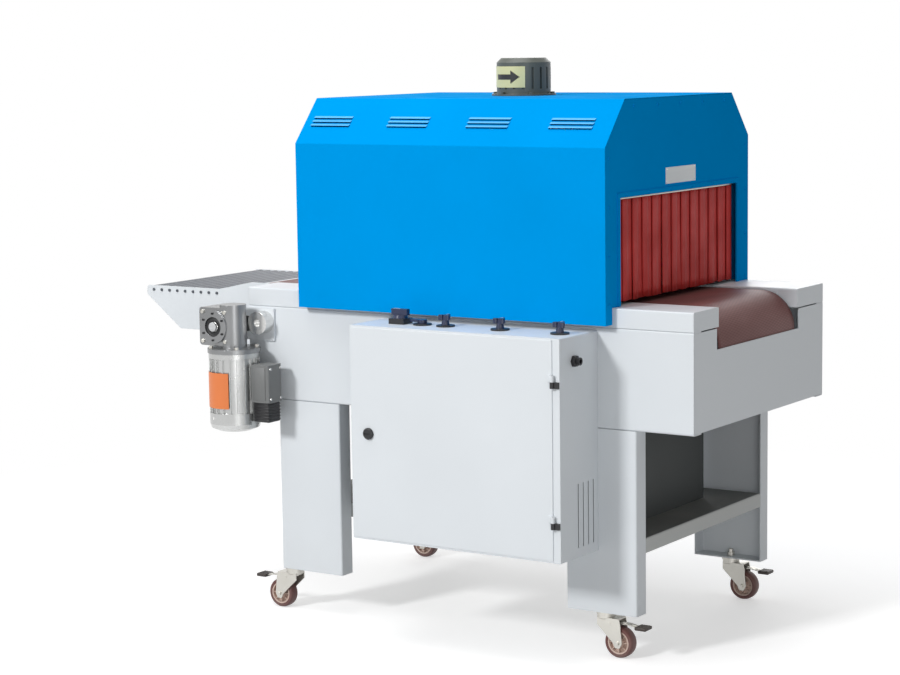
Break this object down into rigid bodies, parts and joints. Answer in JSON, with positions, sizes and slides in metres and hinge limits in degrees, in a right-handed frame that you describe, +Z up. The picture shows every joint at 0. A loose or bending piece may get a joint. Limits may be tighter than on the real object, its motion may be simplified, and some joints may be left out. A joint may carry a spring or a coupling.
{
  "type": "shrink tunnel machine",
  "caption": "Free-standing shrink tunnel: hot-air hood with strip curtains over a belt conveyor, gearmotor drive, outfeed roller table, control cabinet and braked casters.",
  "frame": {"origin": "on the floor under the middle of the whole machine", "axes": "+X along the conveyor towards the infeed end, -Y towards the operator's side with the cabinet, +Z up"},
  "size_m": [1.821, 0.9603, 1.503],
  "materials": {
    "frame_white": "satin",
    "hood_blue": "satin",
    "tray_grey": "satin",
    "belt": "coated mesh",
    "curtain_red": "matte",
    "steel": "brushed",
    "roller_steel": "drawn",
    "heater_steel": "oxidised",
    "zinc": "zinc plated",
    "cast_grey": "painted",
    "cast_aluminium": "cast",
    "fan_grey": "satin",
    "black_plastic": "matte",
    "control_blue": "moulded",
    "control_gear": "moulded",
    "wheel_pu": "moulded"
  },
  "bodies": {
    "frame": {"skirt_front": "frame_white", "skirt_back": "frame_white", "end_panels": "frame_white", "side_rails": "frame_white", "lower_tray": "tray_grey", "outfeed_frame": "frame_white", "belt_bed": "steel", "conveyor_belt": "belt", "drum_bearings": "cast_grey", "hood_cover": "hood_blue", "hood_end_infeed": "hood_blue", "hood_end_outfeed": "hood_blue", "chamber_liner": "steel", "heater_bank": "heater_steel", "curtain_bars": "zinc", "fan_motor": "fan_grey", "cabinet_body": "frame_white", "cabinet_fittings": "black_plastic", "electrics": "control_gear", "gearbox": "cast_aluminium", "gear_motor": "cast_aluminium", "torque_arm": "zinc", "caster_heads": "zinc", "leg_front_outfeed": "frame_white", "leg_front_infeed": "frame_white", "leg_back_outfeed": "frame_white", "leg_back_infeed": "frame_white"},
    "door": {"cabinet_door": "frame_white"},
    "lock": {"cabinet_lock": "black_plastic"},
    "curtain_infeed": {"curtain_infeed": "curtain_red"},
    "curtain_outfeed": {"curtain_outfeed": "curtain_red"},
    "drive_drum": {"drive_drum": "steel"},
    "infeed_drum": {"infeed_drum": "steel"},
    "fan_impeller": {"fan_impeller": "zinc"},
    "main_switch": {"main_switch": "control_blue"},
    "selector_lever": {"selector_lever": "control_blue"},
    "control_knob_1": {"control_knob_1": "control_blue"},
    "control_knob_2": {"control_knob_2": "control_blue"},
    "control_knob_3": {"control_knob_3": "control_blue"},
    "outfeed_roller_1": {"outfeed_roller_1": "roller_steel"},
    "outfeed_roller_2": {"outfeed_roller_2": "roller_steel"},
    "outfeed_roller_3": {"outfeed_roller_3": "roller_steel"},
    "outfeed_roller_4": {"outfeed_roller_4": "roller_steel"},
    "outfeed_roller_5": {"outfeed_roller_5": "roller_steel"},
    "outfeed_roller_6": {"outfeed_roller_6": "roller_steel"},
    "outfeed_roller_7": {"outfeed_roller_7": "roller_steel"},
    "outfeed_roller_8": {"outfeed_roller_8": "roller_steel"},
    "outfeed_roller_9": {"outfeed_roller_9": "roller_steel"},
    "caster_fork_front_outfeed": {"caster_fork_front_outfeed": "zinc"},
    "caster_wheel_front_outfeed": {"caster_wheel_front_outfeed": "wheel_pu"},
    "caster_brake_front_outfeed": {"caster_brake_front_outfeed": "zinc"},
    "caster_fork_front_infeed": {"caster_fork_front_infeed": "zinc"},
    "caster_wheel_front_infeed": {"caster_wheel_front_infeed": "wheel_pu"},
    "caster_brake_front_infeed": {"caster_brake_front_infeed": "zinc"},
    "caster_fork_back_outfeed": {"caster_fork_back_outfeed": "zinc"},
    "caster_wheel_back_outfeed": {"caster_wheel_back_outfeed": "wheel_pu"},
    "caster_brake_back_outfeed": {"caster_brake_back_outfeed": "zinc"},
    "caster_fork_back_infeed": {"caster_fork_back_infeed": "zinc"},
    "caster_wheel_back_infeed": {"caster_wheel_back_infeed": "wheel_pu"},
    "caster_brake_back_infeed": {"caster_brake_back_infeed": "zinc"}
  },
  "joints": [
    {"name": "belt_drive", "type": "hinge", "parent": "frame", "child": "drive_drum", "pos_m": [-0.4885, 0.08215, 0.79], "axis": [0, 1, 0], "continuous": true},
    {"name": "infeed_drum_turn", "type": "hinge", "parent": "frame", "child": "infeed_drum", "pos_m": [0.8115, 0.08215, 0.79], "axis": [0, 1, 0], "continuous": true},
    {"name": "cabinet_door", "type": "hinge", "parent": "frame", "child": "door", "pos_m": [0.624, -0.47465, 0.377], "axis": [0, 0, 1], "range_deg": [0, 110]},
    {"name": "cabinet_lock", "type": "hinge", "parent": "door", "child": "lock", "pos_m": [0.0735, -0.46885, 0.5535], "axis": [0, -1, 0], "range_deg": [0, 90]},
    {"name": "curtain_infeed", "type": "hinge", "parent": "frame", "child": "curtain_infeed", "pos_m": [0.6725, 0.08215, 1.156], "axis": [0, 1, 0], "range_deg": [0, 70]},
    {"name": "curtain_outfeed", "type": "hinge", "parent": "frame", "child": "curtain_outfeed", "pos_m": [-0.2435, 0.08215, 1.156], "axis": [0, 1, 0], "range_deg": [0, 70]},
    {"name": "fan_spin", "type": "hinge", "parent": "frame", "child": "fan_impeller", "pos_m": [0.2145, 0.08215, 1.26], "axis": [0, 0, 1], "continuous": true},
    {"name": "main_switch", "type": "hinge", "parent": "frame", "child": "main_switch", "pos_m": [0.1215, -0.38585, 0.832], "axis": [0, 0, 1], "range_deg": [0, 90]},
    {"name": "selector_lever", "type": "hinge", "parent": "frame", "child": "selector_lever", "pos_m": [0.1895, -0.38585, 0.832], "axis": [0, 0, 1], "range_deg": [0, 90]},
    {"name": "knob_1", "type": "hinge", "parent": "frame", "child": "control_knob_1", "pos_m": [0.2595, -0.38585, 0.832], "axis": [0, 0, 1], "range_deg": [0, 270]},
    {"name": "knob_2", "type": "hinge", "parent": "frame", "child": "control_knob_2", "pos_m": [0.4225, -0.38585, 0.832], "axis": [0, 0, 1], "range_deg": [0, 270]},
    {"name": "knob_3", "type": "hinge", "parent": "frame", "child": "control_knob_3", "pos_m": [0.5955, -0.38585, 0.832], "axis": [0, 0, 1], "range_deg": [0, 270]},
    {"name": "roller_1", "type": "hinge", "parent": "frame", "child": "outfeed_roller_1", "pos_m": [-0.8845, 0.08215, 0.852], "axis": [0, 1, 0], "continuous": true},
    {"name": "roller_2", "type": "hinge", "parent": "frame", "child": "outfeed_roller_2", "pos_m": [-0.8556, 0.08215, 0.852], "axis": [0, 1, 0], "continuous": true},
    {"name": "roller_3", "type": "hinge", "parent": "frame", "child": "outfeed_roller_3", "pos_m": [-0.8267, 0.08215, 0.852], "axis": [0, 1, 0], "continuous": true},
    {"name": "roller_4", "type": "hinge", "parent": "frame", "child": "outfeed_roller_4", "pos_m": [-0.7978, 0.08215, 0.852], "axis": [0, 1, 0], "continuous": true},
    {"name": "roller_5", "type": "hinge", "parent": "frame", "child": "outfeed_roller_5", "pos_m": [-0.7689, 0.08215, 0.852], "axis": [0, 1, 0], "continuous": true},
    {"name": "roller_6", "type": "hinge", "parent": "frame", "child": "outfeed_roller_6", "pos_m": [-0.74, 0.08215, 0.852], "axis": [0, 1, 0], "continuous": true},
    {"name": "roller_7", "type": "hinge", "parent": "frame", "child": "outfeed_roller_7", "pos_m": [-0.7111, 0.08215, 0.852], "axis": [0, 1, 0], "continuous": true},
    {"name": "roller_8", "type": "hinge", "parent": "frame", "child": "outfeed_roller_8", "pos_m": [-0.6822, 0.08215, 0.852], "axis": [0, 1, 0], "continuous": true},
    {"name": "roller_9", "type": "hinge", "parent": "frame", "child": "outfeed_roller_9", "pos_m": [-0.6533, 0.08215, 0.852], "axis": [0, 1, 0], "continuous": true},
    {"name": "swivel_front_outfeed", "type": "hinge", "parent": "frame", "child": "caster_fork_front_outfeed", "pos_m": [-0.3315, -0.25885, 0.115], "axis": [0, 0, 1], "continuous": true},
    {"name": "wheel_front_outfeed", "type": "hinge", "parent": "caster_fork_front_outfeed", "child": "caster_wheel_front_outfeed", "pos_m": [-0.3735, -0.25885, 0.04], "axis": [0, 1, 0], "continuous": true},
    {"name": "pedal_front_outfeed", "type": "hinge", "parent": "caster_fork_front_outfeed", "child": "caster_brake_front_outfeed", "pos_m": [-0.3515, -0.25885, 0.088], "axis": [0, -1, 0], "range_deg": [0, 13]},
    {"name": "swivel_front_infeed", "type": "hinge", "parent": "frame", "child": "caster_fork_front_infeed", "pos_m": [0.6505, -0.25885, 0.115], "axis": [0, 0, 1], "continuous": true},
    {"name": "wheel_front_infeed", "type": "hinge", "parent": "caster_fork_front_infeed", "child": "caster_wheel_front_infeed", "pos_m": [0.6925, -0.25885, 0.04], "axis": [0, 1, 0], "continuous": true},
    {"name": "pedal_front_infeed", "type": "hinge", "parent": "caster_fork_front_infeed", "child": "caster_brake_front_infeed", "pos_m": [0.6705, -0.25885, 0.088], "axis": [0, 1, 0], "range_deg": [0, 13]},
    {"name": "swivel_back_outfeed", "type": "hinge", "parent": "frame", "child": "caster_fork_back_outfeed", "pos_m": [-0.3315, 0.45115, 0.115], "axis": [0, 0, 1], "continuous": true},
    {"name": "wheel_back_outfeed", "type": "hinge", "parent": "caster_fork_back_outfeed", "child": "caster_wheel_back_outfeed", "pos_m": [-0.3735, 0.45115, 0.04], "axis": [0, 1, 0], "continuous": true},
    {"name": "pedal_back_outfeed", "type": "hinge", "parent": "caster_fork_back_outfeed", "child": "caster_brake_back_outfeed", "pos_m": [-0.3515, 0.45115, 0.088], "axis": [0, -1, 0], "range_deg": [0, 13]},
    {"name": "swivel_back_infeed", "type": "hinge", "parent": "frame", "child": "caster_fork_back_infeed", "pos_m": [0.6505, 0.45115, 0.115], "axis": [0, 0, 1], "continuous": true},
    {"name": "wheel_back_infeed", "type": "hinge", "parent": "caster_fork_back_infeed", "child": "caster_wheel_back_infeed", "pos_m": [0.6925, 0.45115, 0.04], "axis": [0, 1, 0], "continuous": true},
    {"name": "pedal_back_infeed", "type": "hinge", "parent": "caster_fork_back_infeed", "child": "caster_brake_back_infeed", "pos_m": [0.6705, 0.45115, 0.088], "axis": [0, 1, 0], "range_deg": [0, 13]}
  ],
  "couplings": [
    {"joint": "infeed_drum_turn", "follows": "belt_drive", "ratio": 1}
  ]
}
